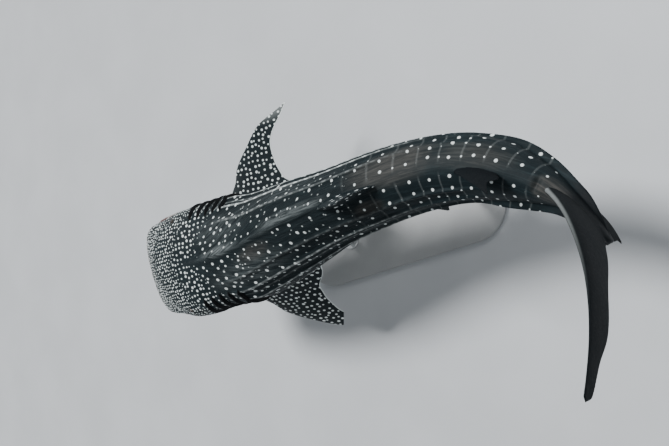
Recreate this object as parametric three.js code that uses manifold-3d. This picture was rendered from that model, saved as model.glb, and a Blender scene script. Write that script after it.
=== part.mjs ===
// A young whale shark, life size, swimming with its tail swept to its left, as a still
// museum model on a flat base with two rods. Millimetres, +Z up, snout towards -X.
// The animal is drawn straight along +X with +Y its right side and +Z its back, then
// every point is bent along the backbone by pose(). Cuts between nodes come after that.
import * as THREE from "three";
import { mergeVertices } from "three/addons/utils/BufferGeometryUtils.js";
import Module from "manifold-3d";

const wasm = await Module();
wasm.setup();

// Driving dimensions. Stations are shares of the total length.
const totalLength = 6000;
const gap = 0.3;
const axisHeight = 1560;
const snoutX = -2125;
const snoutY = -452;

// The backbone's heading in the floor plane, its climb and the body's bank, in degrees.
const heading = [
  [0, 12.1], [0.15, 10], [0.3, 21.8], [0.45, 18.6], [0.6, 6.9], [0.7, -14.8], [0.78, -31], [0.86, -56.5],
  [1.05, -83.2],
];
const climb = [[0, -1], [0.15, -3.5], [0.3, -1.5], [0.45, 0], [0.6, 2.5], [0.75, 9.5], [1.05, 0]];
const bank = [[0, 9.3], [0.3, 2.1], [0.48, 6.5], [0.62, 1.5], [0.85, -0.4], [1.05, 2.1]];

// The body's half width, and its height above and below the backbone's line.
const halfWidth = [
  [0, 358], [0.004, 433], [0.012, 486], [0.024, 512], [0.045, 527], [0.09, 573], [0.14, 582], [0.2, 590],
  [0.28, 484], [0.36, 408], [0.435, 339], [0.52, 307], [0.63, 263], [0.7, 224], [0.755, 147], [0.8, 66],
  [0.83, 40], [0.86, 30],
];
// The left side's share of that width: a full cheek, then drawn in where the neck bends.
const leftShare = [
  [0, 1.02], [0.03, 1.02], [0.07, 1.05], [0.105, 1.03], [0.135, 0.95], [0.16, 0.9], [0.19, 0.87], [0.215, 0.9],
  [0.25, 0.96], [0.29, 1],
];
const backHeight = [
  [0, 40], [0.004, 62], [0.012, 88], [0.024, 120], [0.045, 160], [0.09, 225], [0.14, 292], [0.2, 352],
  [0.28, 396], [0.36, 408], [0.435, 398], [0.52, 362], [0.63, 298], [0.7, 240], [0.755, 186], [0.8, 160],
  [0.83, 128], [0.86, 84],
];
const bellyDepth = [
  [0, 66], [0.004, 104], [0.012, 150], [0.024, 205], [0.045, 270], [0.09, 350], [0.14, 412], [0.2, 448],
  [0.28, 446], [0.36, 418], [0.435, 385], [0.52, 350], [0.63, 290], [0.7, 236], [0.755, 190], [0.8, 150],
  [0.83, 106], [0.86, 60],
];
// Superellipse powers: 2 is round, more is boxier, less is a ridged roof.
const backPower = [[0, 2.2], [0.05, 2.45], [0.15, 2.3], [0.3, 1.95], [0.5, 1.9], [0.75, 2.1], [0.9, 2]];
const bellyPower = [[0, 2.3], [0.05, 2.6], [0.2, 2.5], [0.45, 2.2], [0.9, 2]];
const snoutBulge = 22;
const snoutLength = 145;
const snoutBulgeReach = 0.045;

// Long ridges: angle from the back's midline along the body, first and last station, height.
const ridges = [
  { angles: [[0.12, 0], [0.46, 0]], from: 0.13, to: 0.46, height: 26 },
  { angles: [[0.17, 30], [0.4, 36], [0.7, 44]], from: 0.17, to: 0.7, height: 20 },
  { angles: [[0.17, 48], [0.4, 58], [0.7, 66]], from: 0.17, to: 0.7, height: 22 },
  { angles: [[0.17, 68], [0.4, 80], [0.7, 90], [0.86, 90]], from: 0.18, to: 0.86, height: 24 },
];
const keelHeight = 34;
const ridgeWidth = 3.2;

// Gill slits, five to a side, with the flaps between them standing proud at the rear edge.
const gillFirst = 0.13;
const gillStep = 0.0215;
const gillCount = 5;
const gillFlap = 38;
const gillLip = 0.0007;
const gillTop = 42;
const gillBottom = 122;

// The notch across the back just ahead of the tail fin.
const pit = { station: 0.762, reach: 0.0035, across: 26, depth: 26 };

// Mouth: the slit runs round the front of the snout to its corners, jaw a little open.
const mouthCorner = 0.068 * totalLength;
const throatX = 0.1 * totalLength;
const lipLevel = -8;
const lipDroop = 46;
const lipHalfWide = 560;
const cornerDrop = 26;
const mouthGape = 62;
const jawReach = 105;
const jawWiden = 0.13;
const jawFirst = 0.02;
const jawLast = 0.1;

const eyeStation = 0.081;
const eyeAngle = 57;
const eyeRadius = 27;
const eyeSink = 13;
const eyeRim = { radius: 35, thick: 9 };
const lipThick = 13;
const nostril = { side: 262, lift: 15, radius: 15, barbelLength: 34, barbelRadius: 8 };

const flesh = {
  back: "#2b3a42",
  fin: "#26343b",
  belly: "#c9cdc8",
  eye: "#0b0c0e",
  base: "#9b9c9c",
  rod: "#b9bcc0",
};

const radians = THREE.MathUtils.degToRad;
const smooth = THREE.MathUtils.smoothstep;

// Monotone cubic through a table of [station, value] pairs.
function curve(table) {
  const x = table.map((p) => p[0]);
  const y = table.map((p) => p[1]);
  const last = x.length - 1;
  const slope = x.slice(1).map((v, i) => (y[i + 1] - y[i]) / (v - x[i]));
  const tangent = x.map((v, i) => {
    if (i === 0) return slope[0];
    if (i === last) return slope[last - 1];
    return slope[i - 1] * slope[i] <= 0 ? 0 : (2 * slope[i - 1] * slope[i]) / (slope[i - 1] + slope[i]);
  });
  return (at) => {
    const s = Math.min(Math.max(at, x[0]), x[last]);
    let i = 0;
    while (i < last - 1 && s > x[i + 1]) i++;
    const h = x[i + 1] - x[i];
    const t = (s - x[i]) / h;
    const u = 1 - t;
    return (1 + 2 * t) * u * u * y[i] + t * u * u * h * tangent[i]
      + t * t * (3 - 2 * t) * y[i + 1] - t * t * u * h * tangent[i + 1];
  };
}

const headingAt = curve(heading);
const climbAt = curve(climb);
const bankAt = curve(bank);
const halfAt = curve(halfWidth);
const leftShareAt = curve(leftShare);
const backAt = curve(backHeight);
const bellyAt = curve(bellyDepth);
const backPowerAt = curve(backPower);
const bellyPowerAt = curve(bellyPower);
const ridgeAngleAt = ridges.map((ridge) => curve(ridge.angles));

// The backbone, walked in short steps from the snout.
const spineStep = 10;
const spineEnd = 1.06 * totalLength;

function tangentAt(x) {
  const turn = radians(headingAt(x / totalLength));
  const rise = radians(climbAt(x / totalLength));
  return new THREE.Vector3(Math.cos(turn) * Math.cos(rise), Math.sin(turn) * Math.cos(rise), Math.sin(rise));
}

const spine = [new THREE.Vector3(snoutX, snoutY, axisHeight)];
for (let x = 0; x < spineEnd; x += spineStep) {
  spine.push(spine.at(-1).clone().addScaledVector(tangentAt(x + spineStep / 2), spineStep));
}

// Carries a point of the straight animal to its place in the swimming pose.
function pose(point) {
  const along = Math.min(Math.max(point.x, 0), spineEnd - spineStep);
  const index = Math.floor(along / spineStep);
  const tangent = tangentAt(along);
  const centre = spine[index].clone().lerp(spine[index + 1], along / spineStep - index);
  const level = new THREE.Vector3(0, 0, 1).cross(tangent).normalize();
  const upright = tangent.clone().cross(level);
  const lean = radians(bankAt(along / totalLength));
  const side = level.clone().multiplyScalar(Math.cos(lean)).addScaledVector(upright, Math.sin(lean));
  const back = upright.multiplyScalar(Math.cos(lean)).addScaledVector(level, -Math.sin(lean));
  centre.addScaledVector(tangent, point.x - along);
  return centre.addScaledVector(side, point.y).addScaledVector(back, point.z);
}

// Height of the gill flaps at a station: each rises to the rear and drops at its slit.
function gillRise(s) {
  const steps = (s - gillFirst) / gillStep;
  if (steps < -1 || steps > gillCount + 0.6) return 0;
  if (steps < 0) return (steps + 1) * 0.62;
  if (steps < gillCount - 1) return steps - Math.floor(steps) - 0.38;
  return -0.38 * (1 - smooth(steps, gillCount - 1, gillCount + 0.6));
}

// A point on the straight body. Angle runs from the back's midline, positive to the right.
function bodyPoint(s, angle, grow = 0) {
  const a = radians(angle);
  const sine = Math.sin(a);
  const cosine = Math.cos(a);
  const power = cosine >= 0 ? backPowerAt(s) : bellyPowerAt(s);
  const height = cosine >= 0 ? backAt(s) : bellyAt(s);
  const half = halfAt(s) * (sine < 0 ? leftShareAt(s) : 1);
  const y = half * Math.sign(sine) * Math.abs(sine) ** (2 / power);
  const z = height * Math.sign(cosine) * Math.abs(cosine) ** (2 / power);
  const off = Math.abs(angle > 180 ? angle - 360 : angle);
  let raise = grow;
  ridges.forEach((ridge, i) => {
    const fade = smooth(s, ridge.from, ridge.from + 0.06) * (1 - smooth(s, ridge.to - 0.06, ridge.to));
    const keel = i === 3 ? keelHeight * smooth(s, 0.66, 0.74) : 0;
    raise += (ridge.height + keel) * fade * Math.exp(-(((off - ridgeAngleAt[i](s)) / ridgeWidth) ** 2));
  });
  const band = smooth(off, gillTop, gillTop + 12) * (1 - smooth(off, gillBottom - 14, gillBottom));
  raise += gillFlap * gillRise(s) * band;
  raise -= pit.depth * Math.exp(-(((s - pit.station) / pit.reach) ** 2) - (off / pit.across) ** 2);
  const outward = new THREE.Vector3(0, y / half / half, z / height / height).normalize();
  const bulge = snoutLength + snoutBulge * (1 - Math.min(1, (y / half) ** 2));
  const x = s * totalLength - bulge * Math.exp(-s / snoutBulgeReach);
  return new THREE.Vector3(x, y, z).addScaledVector(outward, raise);
}

// Angles round one side: a point on every ridge and one to each side of it.
function ringAngles(s) {
  const crest = ridgeAngleAt.slice(1).map((angle) => angle(s));
  const side = [0, 5, 14, 23];
  crest.forEach((angle) => side.push(angle - 4, angle, angle + 4));
  const low = crest[2] + 4;
  for (let i = 1; i < 7; i++) side.push(low + ((180 - low) * i) / 7);
  const inOrder = side.sort((a, b) => a - b);
  return [...inOrder, 180, ...inOrder.slice(1).reverse().map((angle) => 360 - angle)];
}

function bodyRing(s, grow = 0) {
  return ringAngles(s).map((angle) => pose(bodyPoint(s, angle, grow)));
}

// A closed mesh through rings of equal length, with a fan over each end.
function loft(rings) {
  const count = rings[0].length;
  const middle = (ring) => ring.reduce((sum, p) => sum.add(p), new THREE.Vector3()).divideScalar(count);
  const points = [...rings.flat(), middle(rings[0]), middle(rings.at(-1))];
  const faces = [];
  const first = points.length - 2;
  const end = (rings.length - 1) * count;
  for (let i = 0; i < count; i++) {
    const j = (i + 1) % count;
    for (let r = 0; r < end; r += count) {
      faces.push(r + i, r + count + i, r + j);
      faces.push(r + j, r + count + i, r + count + j);
    }
    faces.push(first, i, j, first + 1, end + j, end + i);
  }
  return solidFrom(points, faces);
}

function manifoldOf(vertProperties, triVerts) {
  return new wasm.Manifold(new wasm.Mesh({ numProp: 3, vertProperties, triVerts }));
}

// A solid from points and triangles, turned so that its faces look outwards.
function solidFrom(points, faces) {
  const position = new Float32Array(points.flatMap((p) => [p.x, p.y, p.z]));
  const made = manifoldOf(position, new Uint32Array(faces));
  if (made.volume() > 0) return made;
  for (let i = 0; i < faces.length; i += 3) [faces[i + 1], faces[i + 2]] = [faces[i + 2], faces[i + 1]];
  return manifoldOf(position, new Uint32Array(faces));
}

function solidOf(geometry) {
  geometry.deleteAttribute("normal");
  geometry.deleteAttribute("uv");
  const merged = mergeVertices(geometry, 1e-3);
  return manifoldOf(merged.attributes.position.array, new Uint32Array(merged.index.array));
}

// The largest closed piece of a solid.
function largest(solid) {
  return solid.decompose().reduce((best, piece) => (piece.volume() > best.volume() ? piece : best));
}

const headEnd = 0.115;
const gillEnd = 0.222;
const lengthEnds = [0, headEnd, gillEnd, 0.4, 0.58, 0.7, 0.86];

// Stations between two neighbouring ends, closer where the shape changes fast.
function stationsBetween(from, to) {
  const spacing = (s) => (s < 0.03 ? 0.006 : s < 0.1 ? 0.012 : s < 0.66 ? 0.02 : 0.0135);
  const list = [from];
  while (list.at(-1) + spacing(list.at(-1)) * 1.4 < to) list.push(list.at(-1) + spacing(list.at(-1)));
  list.push(to);
  const everySlit = Array.from({ length: gillCount }, (_, i) => gillFirst + i * gillStep);
  const slits = everySlit.filter((s) => s > from && s < to);
  const clear = list.filter((s) => slits.every((slit) => Math.abs(s - slit) > 4 * gillLip));
  const dip = [-2, -1, 0, 1, 2].map((i) => pit.station + i * pit.reach).filter((s) => s > from && s < to);
  const free = clear.filter((s) => Math.abs(s - pit.station) > 3 * pit.reach);
  return [...free, ...dip, ...slits.flatMap((s) => [s - gillLip, s + gillLip])].sort((a, b) => a - b);
}

const bodyStations = lengthEnds.slice(1).flatMap((end, i) => {
  return stationsBetween(lengthEnds[i], end).slice(i ? 1 : 0);
});

function bodyLength(from, to, grow = 0) {
  const inset = gap / 2 / totalLength;
  const inner = bodyStations.filter((s) => s > from + 0.001 && s < to - 0.001);
  return loft([from + inset, ...inner, to - inset].map((s) => bodyRing(s, grow)));
}

// Half thickness of a smooth foil along its chord, as a share of five times its thickness.
function foil(t) {
  return 0.2969 * Math.sqrt(t) - 0.126 * t - 0.3516 * t * t + 0.2843 * t ** 3 - 0.1015 * t ** 4;
}

const finEdge = 1.2;

// A fin, drawn as sections from root to tip. Each section is a chord with a rounded
// front edge and a thin rear edge, centred on the fin's middle plane.
function finSections(shape, place) {
  const lead = curve(shape.lead);
  const chord = curve(shape.chord);
  const bendAt = shape.bend ? curve(shape.bend) : () => 0;
  const spans = [0, 0.06, 0.13, 0.22, 0.32, 0.43, 0.54, 0.65, 0.75, 0.84, 0.91, 0.96, 1];
  const across = [0, 0.02, 0.07, 0.16, 0.3, 0.46, 0.64, 0.82, 1];
  return spans.map((v) => {
    const length = chord(v);
    const thick = Math.max(shape.thick * length * (1 - 0.35 * v), 7);
    const half = (t) => (thick / 0.2) * foil(t) + finEdge;
    const upper = across.map((t) => [t, half(t)]);
    const lower = across.map((t) => [t, -half(t)]).reverse();
    return [...upper, ...lower].map(([t, off]) => {
      return pose(place(lead(v) + t * length, v * shape.span, off + bendAt(v)));
    });
  });
}

function fin(shape, place) {
  return loft(finSections(shape, place));
}

// Median fins stand in the body's middle plane: span runs up, or down for those below.
// The tail's lobes lag behind the sweep, further out of that plane towards their tips.
function medianPlace(station, level, up, shape = {}) {
  const lag = (along) => (shape.flex ?? 0) * (Math.max(0, along) / (shape.reach ?? 1)) ** 1.6;
  const root = station * totalLength;
  return (along, out, off) => new THREE.Vector3(root + along, off + lag(along), level + up * out);
}

// Paired fins grow sideways from the flank, drooping, with their front edge first.
function pairedPlace(station, sideways, level, droop, twist, hand) {
  const out = new THREE.Vector3(0, Math.cos(radians(droop)), -Math.sin(radians(droop)));
  const over = new THREE.Vector3(0, Math.sin(radians(droop)), Math.cos(radians(droop)));
  return (along, span, off) => {
    const p = new THREE.Vector3(station * totalLength + along, sideways, level);
    p.addScaledVector(out, span).addScaledVector(over, off - along * Math.sin(radians(twist)));
    p.y *= hand;
    return p;
  };
}

const pectoral = {
  span: 1107,
  lead: [[0, -75], [0.2, -65], [0.34, 5], [0.45, 35], [0.7, 235], [0.88, 440], [1, 789]],
  chord: [[0, 968], [0.16, 820], [0.3, 612], [0.5, 490], [0.7, 330], [0.88, 270], [1, 30]],
  thick: 0.12,
  bend: [[0, 0], [0.5, 22], [1, 19]],
};
const firstDorsal = {
  span: 560,
  lead: [[0, 0], [0.3, 140], [0.6, 310], [0.85, 490], [1, 640]],
  chord: [[0, 720], [0.28, 600], [0.42, 450], [0.6, 300], [0.82, 170], [1, 40]],
  thick: 0.13,
  bend: [[0, 0], [0.5, -30], [1, -90]],
};
const secondDorsal = {
  span: 360,
  lead: [[0, 0], [0.4, 170], [0.75, 410], [1, 650]],
  chord: [[0, 420], [0.3, 420], [0.42, 380], [0.6, 240], [0.82, 130], [1, 26]],
  thick: 0.11,
  bend: [[0, 0], [0.5, -70], [1, -150]],
};
const anal = {
  span: 310,
  lead: [[0, 0], [0.4, 95], [0.75, 200], [1, 300]],
  chord: [[0, 300], [0.35, 265], [0.6, 175], [0.82, 95], [1, 24]],
  thick: 0.13,
  bend: [[0, 0], [1, -40]],
};
const pelvic = {
  span: 360,
  lead: [[0, 0], [0.4, 85], [0.75, 190], [1, 300]],
  chord: [[0, 390], [0.3, 330], [0.6, 240], [0.82, 140], [1, 30]],
  thick: 0.13,
};
const upperLobe = {
  span: 1357,
  lead: [[0, -160], [0.157, 60], [0.38, 405], [0.6, 791], [0.8, 1066], [1, 1288]],
  chord: [[0, 614], [0.157, 584], [0.38, 455], [0.6, 304], [0.8, 150], [0.93, 100], [1, 30]],
  thick: 0.12,
};
const lowerLobe = {
  span: 552,
  lead: [[0, -45], [0.3, 2], [0.6, 74], [0.85, 215], [1, 335]],
  chord: [[0, 507], [0.2, 468], [0.45, 340], [0.7, 238], [0.88, 105], [1, 24]],
  thick: 0.12,
  flex: -77,
  reach: 400,
};
// The left pectoral fin ends square, on a plane that leans forward.
const tipCutLean = radians(36.8);
const tipCutPlace = 595;

const meshes = new THREE.Group();

function addNode(name, solid, color, roughness = 0.55, metalness = 0) {
  const made = solid.getMesh();
  const stride = made.numProp;
  const position = new Float32Array(made.numVert * 3);
  for (let i = 0; i < made.numVert; i++) {
    position.set(made.vertProperties.subarray(i * stride, i * stride + 3), i * 3);
  }
  const geometry = new THREE.BufferGeometry();
  geometry.setAttribute("position", new THREE.BufferAttribute(position, 3));
  geometry.setIndex(new THREE.BufferAttribute(made.triVerts, 1));
  geometry.computeVertexNormals();
  const mesh = new THREE.Mesh(geometry, new THREE.MeshStandardMaterial({ color, roughness, metalness }));
  mesh.name = name;
  meshes.add(mesh);
}

// A prism across the whole head from a side outline, drooping to the flanks as the lips do.
function mouthPrism(outline) {
  const slices = 12;
  const rings = [];
  for (let i = 0; i <= slices; i++) {
    const y = prismReach * ((2 * i) / slices - 1);
    const droop = lipDroop * (y / lipHalfWide) ** 2;
    rings.push(outline.map(([x, z, follows]) => pose(new THREE.Vector3(x, y, z - (follows ? droop : 0)))));
  }
  return loft(rings);
}

// The head's cut runs along the roof of the mouth and down behind the jaw.
const prismReach = 760;
const beyond = 300;
const below = -760;
const roofOutline = [
  [-beyond, lipLevel, true],
  [0, lipLevel, true],
  [mouthCorner, lipLevel - cornerDrop, true],
  [throatX, below, false],
  [-beyond, below, false],
];
const jawOutline = [
  [-beyond, lipLevel - mouthGape * 1.6, true],
  [0, lipLevel - mouthGape, true],
  [mouthCorner - 2 * gap, lipLevel - cornerDrop - 1, true],
  [throatX - 2 * gap, below, false],
  [-beyond, below, false],
];

// A point of the lower jaw, which is wider than the snout and reaches further forward.
function jawPoint(s, angle) {
  const front = 1 - smooth(s, jawFirst, jawLast);
  const p = bodyPoint(s, angle);
  return new THREE.Vector3(p.x - jawReach * front, p.y * (1 + jawWiden * front), p.z);
}

function jawRing(s) {
  return ringAngles(s).map((angle) => pose(jawPoint(s, angle)));
}

// The lip line's height at a station: rise lifts it above the roof's cut or drops it below the jaw's.
function lipHeight(s, rise) {
  const back = Math.max(0, s * totalLength) / mouthCorner;
  const open = rise < 0 ? mouthGape * (1 - Math.min(1, back)) : 0;
  return lipLevel - lipDroop * (halfAt(s) / lipHalfWide) ** 2 - cornerDrop * back - open + rise;
}

// The angle on the right side at which the straight body's surface has a given height.
function angleAtHeight(s, height) {
  let high = 20;
  let low = 160;
  for (let i = 0; i < 24; i++) {
    const middle = (high + low) / 2;
    if (bodyPoint(s, middle).z > height) high = middle;
    else low = middle;
  }
  return high;
}

// Points along a lip, from the left corner of the mouth round the front to the right corner.
function lipPath(rise, surface) {
  const stations = [0.064, 0.056, 0.047, 0.038, 0.029, 0.02, 0.012, 0.005, 0];
  const right = stations.map((s) => surface(s, angleAtHeight(s, lipHeight(s, rise))));
  const left = right.map((p) => new THREE.Vector3(p.x, -p.y, p.z));
  const corner = right.at(-1);
  const front = [-0.75, -0.4, 0, 0.4, 0.75].map((share) => {
    const lift = lipDroop * ((halfAt(0) / lipHalfWide) ** 2) * (1 - share * share);
    const ahead = (snoutBulge / 2) * (1 - share * share);
    return new THREE.Vector3(corner.x - ahead, corner.y * share, corner.z + lift);
  });
  return [...left, ...front, ...right.reverse()].map(pose);
}

// A closed round bar along a smooth path through points, tapering to its second radius.
function bar(points, radius, endRadius, steps, sides = 8) {
  const path = new THREE.CatmullRomCurve3(points);
  const frames = path.computeFrenetFrames(steps);
  const rings = [];
  for (let i = 0; i <= steps; i++) {
    const centre = path.getPointAt(i / steps);
    const size = radius + ((endRadius - radius) * i) / steps;
    const ring = [];
    for (let k = 0; k < sides; k++) {
      const turn = (2 * Math.PI * k) / sides;
      ring.push(centre.clone()
        .addScaledVector(frames.normals[i], size * Math.cos(turn))
        .addScaledVector(frames.binormals[i], size * Math.sin(turn)));
    }
    rings.push(ring);
  }
  return loft(rings);
}

function ball(radius, centre) {
  return solidOf(new THREE.SphereGeometry(radius, 20, 10)).translate(centre.toArray());
}

function eyeSeat(hand) {
  const angle = hand > 0 ? eyeAngle : 360 - eyeAngle;
  const surface = bodyPoint(eyeStation, angle);
  const raised = bodyPoint(eyeStation, angle, eyeRim.radius);
  const centre = surface.clone();
  centre.y -= hand * eyeSink;
  return { surface: pose(surface), raised: pose(raised), centre: pose(centre) };
}

const eyeSeats = [eyeSeat(1), eyeSeat(-1)];

// The raised ring of skin round an eye.
function eyeRing({ surface, raised }) {
  const ring = new THREE.TorusGeometry(eyeRim.radius, eyeRim.thick, 8, 24);
  const outward = raised.clone().sub(surface).normalize();
  ring.applyQuaternion(new THREE.Quaternion().setFromUnitVectors(new THREE.Vector3(0, 0, 1), outward));
  return solidOf(ring).translate(surface.toArray());
}

// Where a nostril opens in the upper lip, on the straight body.
function nostrilPoint(hand) {
  const share = nostril.side / halfAt(0);
  const x = -snoutLength - (snoutBulge / 2) * (1 - share * share);
  return new THREE.Vector3(x, hand * nostril.side, lipHeight(0, nostril.lift));
}

// The short soft finger that hangs from the lip beside each nostril.
function barbel(hand) {
  const top = nostrilPoint(hand).add(new THREE.Vector3(4, -hand * nostril.radius * 1.6, 0));
  const steps = [0, 0.5, 1].map((t) => new THREE.Vector3(-8 * t, 0, -nostril.barbelLength * t));
  return bar(steps.map((step) => pose(step.add(top))), nostril.barbelRadius, nostril.barbelRadius * 0.5, 5);
}

function headSolid() {
  const upperLip = bar(lipPath(lipThick * 0.7, bodyPoint), lipThick, lipThick, 44);
  let head = bodyLength(0, headEnd).add(upperLip);
  eyeSeats.forEach((seat) => {
    head = head.add(eyeRing(seat));
  });
  head = head.subtract(mouthPrism(roofOutline));
  [1, -1].forEach((hand) => {
    head = head.subtract(ball(nostril.radius, pose(nostrilPoint(hand)))).add(barbel(hand));
  });
  eyeSeats.forEach((seat) => {
    head = head.subtract(ball(eyeRadius + 1.2 * gap, seat.centre));
  });
  return largest(head);
}

function jawSolid() {
  const stations = bodyStations.filter((s) => s < headEnd);
  const lowerLip = bar(lipPath(-lipThick * 0.7, jawPoint), lipThick, lipThick, 44);
  return largest(loft(stations.map(jawRing)).add(lowerLip).intersect(mouthPrism(jawOutline)));
}

addNode("head", headSolid(), flesh.back);
addNode("lower_jaw", jawSolid(), flesh.belly);
addNode("eye_right", ball(eyeRadius, eyeSeats[0].centre), flesh.eye, 0.1);
addNode("eye_left", ball(eyeRadius, eyeSeats[1].centre), flesh.eye, 0.1);

const lengthNames = ["gill_region", "trunk_front", "trunk_rear", "tail_front", "tail_rear"];
lengthNames.forEach((name, i) => addNode(name, bodyLength(lengthEnds[i + 1], lengthEnds[i + 2]), flesh.back));

function leftPectoral() {
  const whole = fin(pectoral, pairedPlace(0.187, 345, -190, 49, 0, -1));
  return whole.trimByPlane([-Math.cos(tipCutLean), 0, Math.sin(tipCutLean)], tipCutPlace);
}

// Fins are cut back to the skin, so that each meets the body face to face.
const skin = bodyLength(0, lengthEnds.at(-1) + gap / totalLength, gap * 1.3);
const fins = [
  ["pectoral_fin_right", fin(pectoral, pairedPlace(0.187, 380, -190, 6.4, 19, 1))],
  ["pectoral_fin_left", leftPectoral()],
  ["first_dorsal_fin", fin(firstDorsal, medianPlace(0.41, 250, 1))],
  ["second_dorsal_fin", fin(secondDorsal, medianPlace(0.632, 170, 1))],
  ["pelvic_fin_right", fin(pelvic, pairedPlace(0.5, 130, -230, 58, 4, 1))],
  ["pelvic_fin_left", fin(pelvic, pairedPlace(0.5, 130, -230, 58, 4, -1))],
  ["anal_fin", fin(anal, medianPlace(0.648, -180, -1))],
  ["tail_lobe_upper", fin(upperLobe, medianPlace(0.774, 20, 1))],
  ["tail_lobe_lower", fin(lowerLobe, medianPlace(0.785, -20, -1, lowerLobe))],
];
fins.forEach(([name, solid]) => addNode(name, largest(solid.subtract(skin)), flesh.fin));

// Stand: a flat base with rounded ends, and two upright rods on round flanges.
const baseLength = 2700;
const baseWidth = 820;
const baseThick = 45;
const baseBevel = 7;
const baseTurn = 17;
const flangeRadius = 110;
const flangeThick = 16;
const rodPlaces = [
  { place: "front", station: 0.26, radius: 48 },
  { place: "rear", station: 0.53, radius: 40 },
];

function baseSolid() {
  const half = baseLength / 2 - baseWidth / 2;
  const outline = new THREE.Shape();
  outline.absarc(half, 0, baseWidth / 2, -Math.PI / 2, Math.PI / 2);
  outline.absarc(-half, 0, baseWidth / 2, Math.PI / 2, (3 * Math.PI) / 2);
  const plate = new THREE.ExtrudeGeometry(outline, {
    depth: baseThick - 2 * baseBevel,
    bevelThickness: baseBevel,
    bevelSize: baseBevel,
    bevelOffset: -baseBevel,
    bevelSegments: 2,
    curveSegments: 24,
  });
  plate.translate(0, 0, baseBevel);
  plate.rotateZ(radians(baseTurn));
  return solidOf(plate);
}

// A round flange with a chamfered upper edge.
function flangeSolid(foot) {
  const bottom = baseThick + gap;
  const chamfer = 5;
  const profile = [
    [0, bottom], [flangeRadius, bottom], [flangeRadius, bottom + flangeThick - chamfer],
    [flangeRadius - chamfer, bottom + flangeThick], [0, bottom + flangeThick],
  ];
  const turned = new THREE.LatheGeometry(profile.map(([r, z]) => new THREE.Vector2(r, z)), 40);
  turned.rotateX(Math.PI / 2);
  turned.translate(foot.x, foot.y, 0);
  return solidOf(turned);
}

function rodSolid(foot, radius) {
  const bottom = baseThick + flangeThick + 2 * gap;
  const rod = new THREE.CylinderGeometry(radius, radius, axisHeight - bottom, 32);
  rod.rotateX(Math.PI / 2);
  rod.translate(foot.x, foot.y, (bottom + axisHeight) / 2);
  return largest(solidOf(rod).subtract(skin));
}

addNode("stand_base", baseSolid(), flesh.base, 0.6);
rodPlaces.forEach(({ place, station, radius }) => {
  const foot = pose(new THREE.Vector3(station * totalLength, 0, 0));
  addNode(`stand_flange_${place}`, flangeSolid(foot), flesh.rod, 0.3, 0.9);
  addNode(`stand_rod_${place}`, rodSolid(foot, radius), flesh.rod, 0.3, 0.9);
});

export default meshes;
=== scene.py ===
import math

import bmesh
import bpy
import numpy as np
from mathutils import Matrix, Vector
from mathutils.kdtree import KDTree


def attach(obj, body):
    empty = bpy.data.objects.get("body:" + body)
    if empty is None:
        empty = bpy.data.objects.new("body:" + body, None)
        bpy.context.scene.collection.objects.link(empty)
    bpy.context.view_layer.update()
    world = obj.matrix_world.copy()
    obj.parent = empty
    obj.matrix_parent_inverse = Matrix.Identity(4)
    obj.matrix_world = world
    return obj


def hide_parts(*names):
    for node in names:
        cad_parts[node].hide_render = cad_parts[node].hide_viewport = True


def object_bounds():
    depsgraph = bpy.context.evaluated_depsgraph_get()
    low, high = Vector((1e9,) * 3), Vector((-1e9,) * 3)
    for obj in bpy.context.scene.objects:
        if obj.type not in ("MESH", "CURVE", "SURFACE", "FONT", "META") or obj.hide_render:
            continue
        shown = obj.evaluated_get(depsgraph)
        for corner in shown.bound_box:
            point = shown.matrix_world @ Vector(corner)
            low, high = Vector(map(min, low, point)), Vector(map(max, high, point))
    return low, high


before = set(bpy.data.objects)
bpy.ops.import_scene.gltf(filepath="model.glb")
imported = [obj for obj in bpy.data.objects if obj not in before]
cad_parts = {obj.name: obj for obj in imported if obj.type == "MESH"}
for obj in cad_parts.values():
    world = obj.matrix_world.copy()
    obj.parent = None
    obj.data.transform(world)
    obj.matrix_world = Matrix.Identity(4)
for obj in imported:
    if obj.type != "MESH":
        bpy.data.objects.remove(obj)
cadBox = [list(corner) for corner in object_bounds()]
print("frame loaded:", len(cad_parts), "nodes")

# The view, looking down from above the tail, and turned so that the head is to the left.
view = {"place": (3.83, 0.075, 6.115), "pitch": 52.4, "lens": 34.25, "sensor": 36.0}


def addObject(name, data):
    made = bpy.data.objects.new(name, data)
    bpy.context.scene.collection.objects.link(made)
    return made


def applyModifiers(target):
    bpy.context.view_layer.update()
    target.data = bpy.data.meshes.new_from_object(target.evaluated_get(bpy.context.evaluated_depsgraph_get()))
    target.modifiers.clear()


def addCamera():
    pitch = math.radians(view["pitch"])
    right = Vector((math.sin(pitch), 0, -math.cos(pitch)))
    up = Vector((0, 1, 0))
    data = bpy.data.cameras.new("viewCamera")
    data.lens = view["lens"]
    data.sensor_width = view["sensor"]
    camera = addObject("viewCamera", data)
    turn = Matrix((right, up, right.cross(up))).transposed()
    camera.matrix_world = Matrix.Translation(view["place"]) @ turn.to_4x4()
    bpy.context.scene.camera = camera


addCamera()
print("camera placed")

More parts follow.
